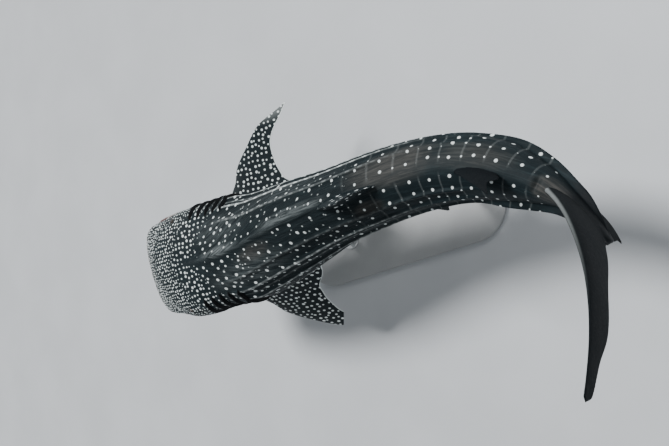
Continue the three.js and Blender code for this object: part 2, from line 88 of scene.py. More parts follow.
# The body, drawn straight along +X with +Y its right and +Z its back, then bent along the backbone.
# Stations are shares of the length. Angles run from the back's midline, in degrees.
sharkBody = {
    "length": 6.0,
    "snout": (-2.125, -0.452, 1.56),
    "heading": [(0, 12.1), (0.15, 10), (0.3, 21.8), (0.45, 18.6), (0.6, 6.9), (0.7, -14.8), (0.78, -31),
                (0.86, -56.5), (1.05, -83.2)],
    "climb": [(0, -1), (0.15, -3.5), (0.3, -1.5), (0.45, 0), (0.6, 2.5), (0.75, 9.5), (1.05, 0)],
    "bank": [(0, 9.3), (0.3, 2.1), (0.48, 6.5), (0.62, 1.5), (0.85, -0.4), (1.05, 2.1)],
    "leftShare": [(0, 1.02), (0.03, 1.02), (0.07, 1.05), (0.105, 1.03), (0.135, 0.95), (0.16, 0.9),
                  (0.19, 0.87), (0.215, 0.9), (0.25, 0.96), (0.29, 1)],
    "backPower": [(0, 2.2), (0.05, 2.45), (0.15, 2.3), (0.3, 1.95), (0.5, 1.9), (0.75, 2.1), (0.9, 2)],
    "bellyPower": [(0, 2.3), (0.05, 2.6), (0.2, 2.5), (0.45, 2.2), (0.9, 2)],
    "snoutBulge": 0.022, "snoutLength": 0.145, "snoutReach": 0.045, "lastStation": 0.86,
    "capDepth": 0.03, "rearCapDepth": 0.02, "capAngles": (84, 72, 54, 36, 18),
}
# Station, half width, height above the backbone, depth below it.
sections = [
    (0, 0.358, 0.04, 0.066), (0.004, 0.433, 0.062, 0.104), (0.012, 0.486, 0.088, 0.15),
    (0.024, 0.512, 0.12, 0.205), (0.045, 0.527, 0.16, 0.27), (0.09, 0.573, 0.225, 0.35),
    (0.14, 0.582, 0.292, 0.412), (0.2, 0.59, 0.352, 0.448), (0.28, 0.484, 0.396, 0.446),
    (0.36, 0.408, 0.408, 0.418), (0.435, 0.339, 0.398, 0.385), (0.52, 0.307, 0.362, 0.35),
    (0.63, 0.263, 0.298, 0.29), (0.7, 0.224, 0.24, 0.236), (0.755, 0.147, 0.186, 0.19),
    (0.8, 0.066, 0.16, 0.15), (0.83, 0.04, 0.128, 0.106), (0.86, 0.03, 0.084, 0.06),
]
ridges = [
    {"angles": [(0.12, 0), (0.46, 0)], "first": 0.13, "last": 0.46, "height": 0.026},
    {"angles": [(0.17, 30), (0.4, 36), (0.7, 44)], "first": 0.17, "last": 0.7, "height": 0.02},
    {"angles": [(0.17, 48), (0.4, 58), (0.7, 66)], "first": 0.17, "last": 0.7, "height": 0.022},
    {"angles": [(0.17, 68), (0.4, 80), (0.7, 90), (0.86, 90)], "first": 0.18, "last": 0.86, "height": 0.024},
]
ridgeForm = {"width": 3.2, "fade": 0.06, "keelHeight": 0.034, "keelFirst": 0.66, "keelFull": 0.74}
gills = {
    "first": 0.13, "step": 0.0215, "count": 5, "flap": 0.038, "lip": 0.0007,
    "top": 42, "bottom": 122, "flapFade": (12, 14), "slitFade": (6, 8),
}
tailPit = {"station": 0.762, "reach": 0.0035, "across": 26, "depth": 0.026}
mouth = {
    "corner": 0.408, "level": -0.008, "droop": 0.046, "gape": 0.062, "halfWide": 0.56,
    "jawReach": 0.105, "jawWiden": 0.13, "jawFirst": 0.02, "jawLast": 0.1,
    "lipHeight": 0.011, "lipWidth": 0.019, "roofLift": 0.03, "floorDrop": 0.05,
    "cornerFade": 0.03, "cornerDrop": 0.026, "cutFront": -0.36, "cutHalfWide": 0.76,
}
nostril = {"side": 0.262, "lift": 0.02, "radius": 0.016, "barbelLength": 0.036, "barbelRadius": 0.009}
eyes = {
    "station": 0.081, "angle": 57, "radius": 0.027, "sink": 0.013, "bulge": 0.05, "bulgeFrom": 0.8,
    "rim": 0.008, "rimReach": 0.036, "rimWidth": 0.011, "socketDepth": 0.024,
}
# The skin's map: where it is anchored, where it turns from surface length to stations, the pale belly's edge.
skinMap = {"anchor": 0.15, "turn": (0.13, 0.2), "belly": (92, 122), "lipsEnd": (0.07, 0.085)}


def smoothStep(value, low, high):
    t = np.clip((value - low) / (high - low), 0, 1)
    return t * t * (3 - 2 * t)


def smoothBand(value, low, lowFull, highFull, high):
    # Rises to 1 between the first two limits and falls to 0 between the last two.
    return smoothStep(value, low, lowFull) * (1 - smoothStep(value, highFull, high))


def curve(table):
    # A monotone cubic through a list of (station, value) pairs.
    x, y = np.array(table, float).T
    slope = np.diff(y) / np.diff(x)
    tangent = np.zeros(len(x))
    tangent[0], tangent[-1] = slope[0], slope[-1]
    before, after = slope[:-1], slope[1:]
    rising = before * after > 0
    total = np.where(rising, before + after, 1)
    tangent[1:-1] = np.where(rising, 2 * before * after / total, 0)

    def at(station):
        s = np.clip(station, x[0], x[-1])
        i = np.clip(np.searchsorted(x, s, side="right") - 1, 0, len(x) - 2)
        h = x[i + 1] - x[i]
        t = (s - x[i]) / h
        u = 1 - t
        return ((1 + 2 * t) * u * u * y[i] + t * u * u * h * tangent[i]
                + t * t * (3 - 2 * t) * y[i + 1] - t * t * u * h * tangent[i + 1])
    return at


bodyAt = {key: curve(table) for key, table in sharkBody.items() if isinstance(table, list)}
for column, key in enumerate(("halfWidth", "backHeight", "bellyDepth"), 1):
    bodyAt[key] = curve([(row[0], row[column]) for row in sections])
ridgeAngleAt = [curve(ridge["angles"]) for ridge in ridges]
totalLength = sharkBody["length"]
spineStep = 0.01
spineEnd = 1.06 * totalLength


def tangentAt(x):
    turn = np.radians(bodyAt["heading"](x / totalLength))
    rise = np.radians(bodyAt["climb"](x / totalLength))
    return np.stack([np.cos(turn) * np.cos(rise), np.sin(turn) * np.cos(rise), np.sin(rise)], -1)


spineSteps = int(round(spineEnd / spineStep))
spine = np.array(sharkBody["snout"]) + np.vstack([
    np.zeros(3), np.cumsum(tangentAt((np.arange(spineSteps) + 0.5) * spineStep) * spineStep, 0)])


def pose(points):
    # Carries points of the straight animal to their places in the swimming pose.
    points = np.asarray(points, float)
    along = np.clip(points[..., 0], 0, spineEnd - spineStep)
    index = np.minimum((along / spineStep).astype(int), len(spine) - 2)
    part = (along / spineStep - index)[..., None]
    centre = spine[index] * (1 - part) + spine[index + 1] * part
    tangent = tangentAt(along)
    level = np.cross([0.0, 0.0, 1.0], tangent)
    level /= np.linalg.norm(level, axis=-1, keepdims=True)
    upright = np.cross(tangent, level)
    lean = np.radians(bodyAt["bank"](along / totalLength))[..., None]
    side = level * np.cos(lean) + upright * np.sin(lean)
    back = upright * np.cos(lean) - level * np.sin(lean)
    ahead = (points[..., 0] - along)[..., None]
    return centre + tangent * ahead + side * points[..., 1:2] + back * points[..., 2:3]


def gillRise(s):
    steps = (s - gills["first"]) / gills["step"]
    count = gills["count"]
    rise = np.where(steps < 0, (steps + 1) * 0.62, steps - np.floor(steps) - 0.38)
    rise = np.where(steps >= count - 1, -0.38 * (1 - smoothStep(steps, count - 1, count + 0.6)), rise)
    return np.where((steps < -1) | (steps > count + 0.6), 0, rise)


def gillBand(angle, fades):
    top, bottom = gills["top"], gills["bottom"]
    return smoothBand(angle, top, top + fades[0], bottom - fades[1], bottom)


def gapeAt(x, most=1.4):
    # The height of the gap between the jaws.
    return mouth["gape"] * np.clip(1 - x / mouth["corner"], 0, most)


def lipLine(y):
    return mouth["level"] - mouth["droop"] * (y / mouth["halfWide"]) ** 2


def plainSection(s, angle):
    a = np.radians(angle)
    sine, cosine = np.sin(a), np.cos(a)
    upper = cosine >= 0
    power = np.where(upper, bodyAt["backPower"](s), bodyAt["bellyPower"](s))
    height = np.where(upper, bodyAt["backHeight"](s), bodyAt["bellyDepth"](s))
    half = bodyAt["halfWidth"](s) * np.where(sine < 0, bodyAt["leftShare"](s), 1)
    y = half * np.sign(sine) * np.abs(sine) ** (2 / power)
    z = height * np.sign(cosine) * np.abs(cosine) ** (2 / power)
    bulge = sharkBody["snoutLength"] + sharkBody["snoutBulge"] * (1 - np.minimum(1, (y / half) ** 2))
    x = s * totalLength - bulge * np.exp(-s / sharkBody["snoutReach"])
    outward = np.stack([np.zeros_like(y), y / half ** 2, z / height ** 2], -1)
    outward /= np.maximum(np.linalg.norm(outward, axis=-1, keepdims=True), 1e-9)
    return np.stack([x, y, z], -1), outward


def eyePlace(hand):
    point, outward = plainSection(np.array(eyes["station"]), np.array(hand * eyes["angle"]))
    point[1] -= hand * eyes["sink"]
    return point, outward


def bodyPoint(s, angle):
    # A point on the straight body's finished surface.
    point, outward = plainSection(s, angle)
    off = np.abs(angle)
    raised = np.zeros_like(s)
    for number, ridge in enumerate(ridges):
        first, last, height = ridge["first"], ridge["last"], ridge["height"]
        if number == len(ridges) - 1:
            keel = smoothStep(s, ridgeForm["keelFirst"], ridgeForm["keelFull"])
            height = height + ridgeForm["keelHeight"] * keel
        fade = smoothBand(s, first, first + ridgeForm["fade"], last - ridgeForm["fade"], last)
        raised += height * fade * np.exp(-((off - ridgeAngleAt[number](s)) / ridgeForm["width"]) ** 2)
    raised += gills["flap"] * gillRise(s) * gillBand(off, gills["flapFade"])
    pit = ((s - tailPit["station"]) / tailPit["reach"]) ** 2 + (off / tailPit["across"]) ** 2
    raised -= tailPit["depth"] * np.exp(-pit)
    corner, fade, width = mouth["corner"], mouth["cornerFade"], mouth["lipWidth"]
    front = 1 - smoothStep(point[..., 0], corner - fade, corner + fade)
    lip = lipLine(point[..., 1])
    gape = gapeAt(point[..., 0])
    rise = point[..., 2] - lip
    lips = np.exp(-((rise - width) / width) ** 2) + np.exp(-((rise + gape + width) / width) ** 2)
    raised += mouth["lipHeight"] * front * lips
    for hand in (1, -1):
        centre, _ = eyePlace(hand)
        away = np.linalg.norm(point - centre, axis=-1)
        rim = np.exp(-((away - eyes["rimReach"]) / eyes["rimWidth"]) ** 2)
        socket = 1 - smoothStep(away, eyes["radius"] * 0.75, eyes["radius"] * 1.25)
        raised += eyes["rim"] * rim - eyes["socketDepth"] * socket
    point = point + outward * raised[..., None]
    # The lower jaw reaches forward and is wider than the snout.
    jaw = 1 - smoothStep(s, mouth["jawFirst"], mouth["jawLast"])
    blend = np.maximum(gape * 0.8, 0.03)
    jaw = jaw * smoothStep(lip - point[..., 2], gape * 0.5 - blend / 2, gape * 0.5 + blend / 2)
    point[..., 0] -= mouth["jawReach"] * jaw
    point[..., 1] *= 1 + mouth["jawWiden"] * jaw
    return point


def spread(*runs):
    # Numbers from runs of (first, last, step), without the last of each but the final one.
    parts = []
    for first, last, step in runs:
        parts.append(np.linspace(first, last, max(1, round((last - first) / step)), endpoint=False))
    return np.concatenate(parts + [[runs[-1][1]]])


def bodyStations():
    slits = [gills["first"] + i * gills["step"] for i in range(gills["count"])]
    coarse = spread((0, 0.03, 0.0013), (0.03, 0.068, 0.0019), (0.068, 0.094, 0.0009), (0.094, 0.222, 0.0022),
                    (0.222, 0.62, 0.0042), (0.62, 0.75, 0.0034), (0.75, 0.775, 0.0014),
                    (0.775, sharkBody["lastStation"], 0.0032))
    near = [slit + lip * gills["lip"] for slit in slits for lip in (-2.5, -1, -0.4, 0.4, 1, 2.5)]
    clear = [s for s in coarse if all(abs(s - slit) > 3.2 * gills["lip"] for slit in slits)]
    return np.array(sorted(clear + near))


nominalRidges = (0, 30, 48, 68, 180)


def realAngle(s, nominal):
    # Grid columns follow the ridges: nominal 30, 48 and 68 degrees lie on them all along.
    real = [0 * s] + [ridgeAngleAt[i](s) for i in (1, 2, 3)] + [0 * s + 180]
    size = np.abs(nominal)
    out = np.zeros(np.broadcast(s, nominal).shape)
    for i in range(4):
        low, high = nominalRidges[i], nominalRidges[i + 1]
        inside = (size >= low) & (size <= high)
        value = real[i] + (real[i + 1] - real[i]) * (size - low) / (high - low)
        out = np.where(inside, value, out)
    return out * np.sign(nominal)


def gridObject(name, points, lay, trail, tint):
    # A closed mesh from rows of points, with two maps and a colour kept on the face corners.
    rows, columns = points.shape[:2]
    count = lay.shape[1] - 1
    r, c = np.meshgrid(np.arange(rows - 1), np.arange(count), indexing="ij")
    corners = [(r, c), (r, c + 1), (r + 1, c + 1), (r + 1, c)]
    faces = np.stack([row * columns + column % columns for row, column in corners], -1).reshape(-1, 4)
    keys = np.stack([row * (count + 1) + column for row, column in corners], -1).reshape(-1, 4)
    flat = points.reshape(-1, 3)
    a, b, d = flat[faces[:, 0]], flat[faces[:, 1]], flat[faces[:, 2]]
    middle = flat.mean(0)
    if np.einsum("ij,ij->i", np.cross(b - a, d - a), a - middle).sum() < 0:
        faces, keys = faces[:, ::-1], keys[:, ::-1]
    data = bpy.data.meshes.new(name)
    data.from_pydata(flat.tolist(), [], faces.tolist())
    keys = keys.reshape(-1)
    for mapName, values in (("lay", lay), ("trail", trail)):
        layer = data.uv_layers.new(name=mapName)
        layer.data.foreach_set("uv", values.reshape(-1, 2)[keys].astype(np.float32).reshape(-1))
    colour = data.color_attributes.new("tint", "FLOAT_COLOR", "CORNER")
    colour.data.foreach_set("color", tint.reshape(-1, 4)[keys].astype(np.float32).reshape(-1))
    made = addObject(name, data)
    mesh = bmesh.new()
    mesh.from_mesh(data)
    bmesh.ops.remove_doubles(mesh, verts=mesh.verts, dist=1e-5)
    bmesh.ops.dissolve_degenerate(mesh, edges=mesh.edges, dist=1e-6)
    mesh.to_mesh(data)
    mesh.free()
    return made


def lengthAlong(points, axis):
    step = np.linalg.norm(np.diff(points, axis=axis), axis=-1)
    pad = [(0, 0), (0, 0)]
    pad[axis] = (1, 0)
    return np.pad(np.cumsum(step, axis=axis), pad)


def bodyObject():
    stations = bodyStations()
    half = spread((0, 24, 2.2), (24, 76, 1.05), (76, 112, 1.25), (112, 180, 3.2))
    nominal = np.concatenate([-half[:0:-1], half])
    s, t = np.meshgrid(stations, nominal, indexing="ij")
    straight = bodyPoint(s, realAngle(s, t))
    # The ends close over a short rounded cap.
    capAngles = np.radians(sharkBody["capAngles"])
    caps = []
    frontEnd, rearEnd = (straight[0], -1, sharkBody["capDepth"]), (straight[-1], 1, sharkBody["rearCapDepth"])
    for ring, way, depth in (frontEnd, rearEnd):
        level = (ring[:, 2].max() + ring[:, 2].min()) / 2
        reach = np.abs(ring[:, 1]).max()
        rows = []
        for angle in capAngles:
            shrink = 1 - (1 - math.cos(angle)) * depth / reach
            row = ring * [1, shrink, math.cos(angle)]
            row[:, 2] += level * (1 - math.cos(angle))
            row[:, 0] += way * depth * math.sin(angle)
            rows.append(row)
        rows.insert(0, np.repeat(rows[0].mean(0)[None], len(ring), 0))
        caps.append(rows if way < 0 else rows[::-1])
    straight = np.concatenate([caps[0], straight, caps[1]])
    extra = len(capAngles) + 1
    s, t = [np.concatenate([np.repeat(v[:1], extra, 0), v, np.repeat(v[-1:], extra, 0)]) for v in (s, t)]
    middle = len(half) - 1
    around = lengthAlong(straight, 1)
    around = around - around[:, middle:middle + 1]
    along = lengthAlong(straight, 0)
    anchor = int(np.argmin(np.abs(s[:, 0] - skinMap["anchor"])))
    along = along - along[anchor:anchor + 1] + s[anchor, 0] * totalLength
    blend = smoothStep(s, *skinMap["turn"])
    along = along * (1 - blend) + s * totalLength * blend
    off = np.abs(t)
    first, step = gills["first"], gills["step"]
    fromSlit = np.abs(np.round((s - first) / step) * step + first - s)
    inside = (s > first - 0.002) & (s < first + step * (gills["count"] - 1) + 0.002)
    slit = np.exp(-(fromSlit / (gills["lip"] * 2.6)) ** 2) * inside * gillBand(off, gills["slitFade"])
    # Ahead of the gills the same channel marks the lips.
    gape = gapeAt(straight[..., 0])
    lip = straight[..., 2] - lipLine(straight[..., 1]) + gape / 2
    slit += np.exp(-(lip / (0.03 + gape / 2)) ** 2) * (1 - smoothStep(s, *skinMap["lipsEnd"]))
    belly = smoothStep(off, *skinMap["belly"])
    tint = np.stack([0 * s, slit, belly, 0 * s], -1)
    lay = np.stack([along, around], -1)
    trail = np.stack([t / 180, s], -1)
    return gridObject("whaleSharkSkin", pose(straight[:, :-1]), lay, trail, tint)


# Each fin has its place and its form, and a kind that the skin's material tells it by.
pectoral = {
    "kind": 1, "rows": 60, "across": 24, "station": 0.187, "level": -0.19,
    "sides": {1: {"sideways": 0.38, "droop": 6.4, "twist": 19},
              -1: {"sideways": 0.345, "droop": 49, "twist": 0, "square": True}},
    "span": 1.107,
    "lead": [(0, -0.075), (0.2, -0.065), (0.34, 0.005), (0.45, 0.035), (0.7, 0.235), (0.88, 0.44),
             (1, 0.789)],
    "chord": [(0, 0.968), (0.16, 0.82), (0.3, 0.612), (0.5, 0.49), (0.7, 0.33), (0.88, 0.27), (1, 0.03)],
    "thick": 0.12,
    "bend": [(0, 0), (0.5, 0.022), (1, 0.019)],
}
firstDorsal = {
    "kind": 0.6, "rows": 44, "across": 20, "station": 0.41, "level": 0.25, "up": 1,
    "span": 0.56,
    "lead": [(0, 0), (0.3, 0.14), (0.6, 0.31), (0.85, 0.49), (1, 0.64)],
    "chord": [(0, 0.72), (0.28, 0.6), (0.42, 0.45), (0.6, 0.3), (0.82, 0.17), (1, 0.04)],
    "thick": 0.13,
    "bend": [(0, 0), (0.5, -0.03), (1, -0.09)],
}
secondDorsal = {
    "kind": 0.5, "rows": 44, "across": 20, "station": 0.632, "level": 0.17, "up": 1,
    "span": 0.36,
    "lead": [(0, 0), (0.4, 0.17), (0.75, 0.41), (1, 0.65)],
    "chord": [(0, 0.42), (0.3, 0.42), (0.42, 0.38), (0.6, 0.24), (0.82, 0.13), (1, 0.026)],
    "thick": 0.11,
    "bend": [(0, 0), (0.5, -0.07), (1, -0.15)],
}
anal = {
    "kind": 0.5, "rows": 26, "across": 14, "station": 0.648, "level": -0.18, "up": -1,
    "span": 0.31,
    "lead": [(0, 0), (0.4, 0.095), (0.75, 0.2), (1, 0.3)],
    "chord": [(0, 0.3), (0.35, 0.265), (0.6, 0.175), (0.82, 0.095), (1, 0.024)],
    "thick": 0.13,
    "bend": [(0, 0), (1, -0.04)],
}
pelvic = {
    "kind": 0.7, "rows": 26, "across": 14, "station": 0.5, "level": -0.23,
    "sides": {hand: {"sideways": 0.13, "droop": 58, "twist": 4} for hand in (1, -1)},
    "span": 0.36,
    "lead": [(0, 0), (0.4, 0.085), (0.75, 0.19), (1, 0.3)],
    "chord": [(0, 0.39), (0.3, 0.33), (0.6, 0.24), (0.82, 0.14), (1, 0.03)],
    "thick": 0.13,
    "bend": [(0, 0), (1, 0)],
}
upperLobe = {
    "kind": 0.4, "rows": 60, "across": 22, "station": 0.774, "level": 0.02, "up": 1,
    "span": 1.357,
    "lead": [(0, -0.16), (0.157, 0.06), (0.38, 0.405), (0.6, 0.791), (0.8, 1.066), (1, 1.288)],
    "chord": [(0, 0.614), (0.157, 0.584), (0.38, 0.455), (0.6, 0.304), (0.8, 0.15), (0.93, 0.1), (1, 0.03)],
    "thick": 0.12,
    "bend": [(0, 0), (1, 0)],
}
lowerLobe = {
    "kind": 0.4, "rows": 40, "across": 20, "station": 0.785, "level": -0.02, "up": -1,
    "span": 0.552,
    "lead": [(0, -0.045), (0.3, 0.002), (0.6, 0.074), (0.85, 0.215), (1, 0.335)],
    "chord": [(0, 0.507), (0.2, 0.468), (0.45, 0.34), (0.7, 0.238), (0.88, 0.105), (1, 0.024)],
    "thick": 0.12,
    "bend": [(0, 0), (1, 0)],
    "flex": -0.077,
    "reach": 0.4,
}
finForm = {"rowPower": 1.35, "thinning": 0.35, "leastThick": 0.007, "edgeHalf": 0.0012, "tipRound": 0.006}
# The left pectoral fin ends square, on a plane that leans forward.
tipCut = {"lean": 36.8, "place": 0.595}


def medianPlace(shape):
    # A fin on the body's middle plane.
    def place(along, out, off):
        lag = shape.get("flex", 0) * (np.maximum(0, along) / shape.get("reach", 1)) ** 1.6
        height = shape["level"] + shape["up"] * out
        return np.stack([shape["station"] * totalLength + along, off + lag, height], -1)
    return place


def pairedPlace(shape, hand):
    # A fin on one side, which droops and is twisted about its length.
    side = shape["sides"][hand]
    lean, slope = math.radians(side["droop"]), math.sin(math.radians(side["twist"]))

    def place(along, out, off):
        over = off - along * slope
        y = side["sideways"] + out * math.cos(lean) + over * math.sin(lean)
        z = shape["level"] - out * math.sin(lean) + over * math.cos(lean)
        return np.stack([shape["station"] * totalLength + along, hand * y, z], -1)
    return place


def finCurves(shape):
    return [curve(shape[key]) for key in ("lead", "chord", "bend")]


def shareToCut(shape, place, t):
    # How much of the span each line along the fin keeps before the square cut.
    lead, chord, bend = finCurves(shape)
    lean = math.radians(tipCut["lean"])
    facing = np.array([-math.cos(lean), 0, math.sin(lean)])
    low, high = np.zeros(len(t)), np.ones(len(t))
    for _ in range(30):
        v = (low + high) / 2
        kept = pose(place(lead(v) + t * chord(v), v * shape["span"], bend(v))) @ facing > tipCut["place"]
        low, high = np.where(kept, v, low), np.where(kept, high, v)
    return high


def finObject(name, shape, hand=0):
    place = pairedPlace(shape, hand) if hand else medianPlace(shape)
    square = hand and shape["sides"][hand].get("square")
    kind, across = shape["kind"], shape["across"]
    lead, chord, bend = finCurves(shape)
    v = 1 - (1 - np.linspace(0, 1, shape["rows"])) ** finForm["rowPower"]
    half = (1 - np.cos(np.linspace(0, math.pi, across))) / 2
    t = np.concatenate([half, half[::-1]])
    side = np.concatenate([np.ones(across), -np.ones(across)])
    share = shareToCut(shape, place, t) if square else np.ones(len(t))
    v, t = np.meshgrid(v, t, indexing="ij")
    v = v * share
    length = chord(v)
    thick = np.maximum(shape["thick"] * length * (1 - finForm["thinning"] * v), finForm["leastThick"])
    # The half thickness of a plain wing section of thickness 0.2, round in front and sharp behind.
    body = 0.2969 * np.sqrt(t) - 0.126 * t - 0.3516 * t * t + 0.2843 * t ** 3 - 0.1015 * t ** 4
    off = side * (thick * body / 0.2 + finForm["edgeHalf"])
    along = lead(v) + t * length
    out = v * shape["span"]
    straight = place(along, out, off + bend(v))
    rounds = []
    for angle in np.radians([30, 60, 90]):
        tipOut = out[-1] + finForm["tipRound"] * math.sin(angle)
        rounds.append(place(along[-1], tipOut, off[-1] * math.cos(angle) + bend(v[-1])))
    root = np.repeat(straight[:1].mean(1, keepdims=True), straight.shape[1], 1)
    straight = np.concatenate([root, straight, rounds])
    grow = lambda values: np.concatenate([values[:1], values, np.repeat(values[-1:], len(rounds), 0)])
    edge = np.minimum(np.minimum(t * length, (1 - t) * length * 1.3), (1 - v) * shape["span"] * 1.2 + 0.002)
    lay = np.stack([grow(along) + kind * 20 + side * 3, grow(out)], -1)
    trail = np.stack([grow(t), grow(v)], -1)
    tint = np.stack([0 * grow(v) + kind, grow(edge), 0 * grow(v) + (side < 0) * 0.4, 0 * grow(v)], -1)
    close = lambda values: np.concatenate([values, values[:, :1]], 1)
    return gridObject(name, pose(straight), close(lay), close(trail), close(tint))


def mouthCutter():
    # The gap between the jaws, deeper inside than at the lips.
    y = np.linspace(-mouth["cutHalfWide"], mouth["cutHalfWide"], 96)
    x = spread((mouth["cutFront"], 0.0, 0.02), (0.0, mouth["corner"], 0.012))
    y, x = np.meshgrid(y, x, indexing="ij")
    lip = lipLine(y)
    half = bodyAt["halfWidth"](np.clip(x / totalLength + 0.01, 0, 1))
    inner = smoothStep(np.minimum(x + 0.06, half - np.abs(y)), 0.05, 0.15)
    inner = inner * (1 - smoothStep(x, mouth["corner"] - 0.08, mouth["corner"]))
    drop = mouth["cornerDrop"] * np.clip(x / mouth["corner"], 0, 1)
    top = lip + mouth["roofLift"] * inner - drop
    gape = gapeAt(x, 1.6) + 0.001
    bottom = lip - drop - gape - mouth["floorDrop"] * inner
    upper = np.stack([x, y, top], -1)
    lower = np.stack([x, y, bottom], -1)[:, ::-1]
    loop = np.concatenate([upper, lower], 1)
    ends = [np.repeat(ring.mean(0)[None, None], loop.shape[1], 1) for ring in (loop[0], loop[-1])]
    loop = np.concatenate([ends[0], loop, ends[1]])
    grid = np.concatenate([loop, loop[:, :1]], 1)
    lay = grid[..., :2] + [40, 0]
    tint = np.zeros(grid.shape[:2] + (4,))
    tint[..., 3] = 1
    return gridObject("mouthCutter", pose(loop), lay, lay * 0, tint)


def nostrilPlace(hand):
    # Where a nostril opens in the upper lip, on the straight body.
    side = nostril["side"]
    bulge = sharkBody["snoutBulge"] / 2 * (1 - (side / bodyAt["halfWidth"](0)) ** 2)
    ahead = sharkBody["snoutLength"] + sharkBody["capDepth"] + bulge
    return np.array([-ahead, hand * side, lipLine(side) + nostril["lift"]])


def ballObject(name, centre, radius, tint):
    turn, rise = np.meshgrid(np.linspace(0, 2 * math.pi, 25), np.linspace(0, math.pi, 13))
    ball = np.stack([np.cos(turn) * np.sin(rise), np.sin(turn) * np.sin(rise), np.cos(rise)], -1)
    points = pose(centre) + ball * radius
    lay = np.stack([turn + 60, rise], -1)
    return gridObject(name, points[:, :-1], lay, lay * 0, np.broadcast_to(tint, turn.shape + (4,)))


def barbelObject(hand):
    # The short soft finger that hangs from the lip beside a nostril.
    turn, share = np.meshgrid(np.linspace(0, 2 * math.pi, 17), np.linspace(0, 1, 12))
    radius = nostril["barbelRadius"] * (1 - 0.5 * share) * np.sqrt(np.clip((1 - share) * 6, 0, 1))
    radius = radius * (share > 0)
    side = nostril["radius"] * 1.6 * -hand
    centre = nostrilPlace(hand) + np.stack([0.006 - 0.012 * share ** 2, side + 0 * share,
                                            -nostril["barbelLength"] * share], -1)
    points = centre + np.stack([np.cos(turn), np.sin(turn), 0 * turn], -1) * radius[..., None]
    lay = np.stack([turn * 0.02 - 0.1, share * 0.05], -1)
    name = "barbelRight" if hand > 0 else "barbelLeft"
    return gridObject(name, pose(points[:, :-1]), lay, lay * 0, np.zeros(turn.shape + (4,)))


def applyBoolean(target, tools, operation):
    holder = bpy.data.collections.new(operation.lower())
    bpy.context.scene.collection.children.link(holder)
    for tool in tools:
        bpy.context.scene.collection.objects.unlink(tool)
        holder.objects.link(tool)
    change = target.modifiers.new("join", "BOOLEAN")
    change.operation = operation
    change.operand_type = "COLLECTION"
    change.collection = holder
    change.solver = "MANIFOLD"
    applyModifiers(target)
    for tool in tools:
        bpy.data.objects.remove(tool)
    bpy.data.collections.remove(holder)


def readAll(items, key, width, kind):
    values = np.zeros(len(items) * width, kind)
    items.foreach_get(key, values)
    return values.reshape(-1, width)


def vertexCodes(data):
    # The lowest and highest face kind at each vertex, from the colour on the corners.
    tint = readAll(data.color_attributes["tint"].data, "color", 4, np.float32)
    code = np.round(tint[:, 0] * 10) + np.round(tint[:, 3]) * 100
    corner = readAll(data.loops, "vertex_index", 1, np.int32)[:, 0]
    low = np.full(len(data.vertices), 1e9)
    high = np.full(len(data.vertices), -1e9)
    np.minimum.at(low, corner, code)
    np.maximum.at(high, corner, code)
    return low, high


softening = {"fin": (0.06, 24), "lip": (0.018, 6), "strength": 0.6}  # reach from the seam, rounds


def relax(data, seam, reach, rounds):
    # Evens out the surface near the given vertices, most at the middle of the band.
    count = len(data.vertices)
    place = readAll(data.vertices, "co", 3, np.float64)
    tree = KDTree(len(seam))
    for i in seam:
        tree.insert(place[i], int(i))
    tree.balance()
    low, high = place[seam].min(0) - reach, place[seam].max(0) + reach
    near = np.nonzero(((place > low) & (place < high)).all(1))[0]
    weight = np.zeros(count)
    for i in near:
        away = tree.find(place[i])[2]
        if away < reach:
            weight[i] = 1 - away / reach
    weight = (weight * weight * (3 - 2 * weight) * softening["strength"])[:, None]
    edge = readAll(data.edges, "vertices", 2, np.int32)
    edge = edge[(weight[edge[:, 0], 0] > 0) | (weight[edge[:, 1], 0] > 0)]
    a, b = edge[:, 0], edge[:, 1]
    valence = np.maximum(np.bincount(a, minlength=count) + np.bincount(b, minlength=count), 1)[:, None]
    for _ in range(rounds):
        total = np.stack([np.bincount(a, place[b, k], count) + np.bincount(b, place[a, k], count)
                          for k in range(3)], -1)
        place = place + (total / valence - place) * weight
    data.vertices.foreach_set("co", place.reshape(-1))
    data.update()


def buildSkin():
    skin = bodyObject()
    fins = (
        ("pectoralRight", pectoral, 1), ("pectoralLeft", pectoral, -1), ("firstDorsal", firstDorsal),
        ("secondDorsal", secondDorsal), ("pelvicRight", pelvic, 1), ("pelvicLeft", pelvic, -1),
        ("anal", anal), ("upperLobe", upperLobe), ("lowerLobe", lowerLobe),
    )
    applyBoolean(skin, [finObject(*fin) for fin in fins], "UNION")
    applyBoolean(skin, [mouthCutter()], "DIFFERENCE")
    applyBoolean(skin, [barbelObject(1), barbelObject(-1)], "UNION")
    insideTint = (0, 0, 0, 1)
    holes = [ballObject("nostrilHole", nostrilPlace(hand), nostril["radius"], insideTint) for hand in (1, -1)]
    applyBoolean(skin, holes, "DIFFERENCE")
    mesh = bmesh.new()
    mesh.from_mesh(skin.data)
    bmesh.ops.triangulate(mesh, faces=[face for face in mesh.faces if len(face.verts) > 4])
    mesh.to_mesh(skin.data)
    mesh.free()
    low, high = vertexCodes(skin.data)
    lips = np.nonzero((high >= 100) & (low < 100))[0]
    roots = np.nonzero((high < 100) & (high > low))[0]
    print("seams:", len(lips), "lip and", len(roots), "fin root vertices")
    relax(skin.data, roots, *softening["fin"])
    relax(skin.data, lips, *softening["lip"])
    skin.data.polygons.foreach_set("use_smooth", np.ones(len(skin.data.polygons), bool))
    print("skin:", sum(len(face.vertices) - 2 for face in skin.data.polygons), "triangles")
    return skin


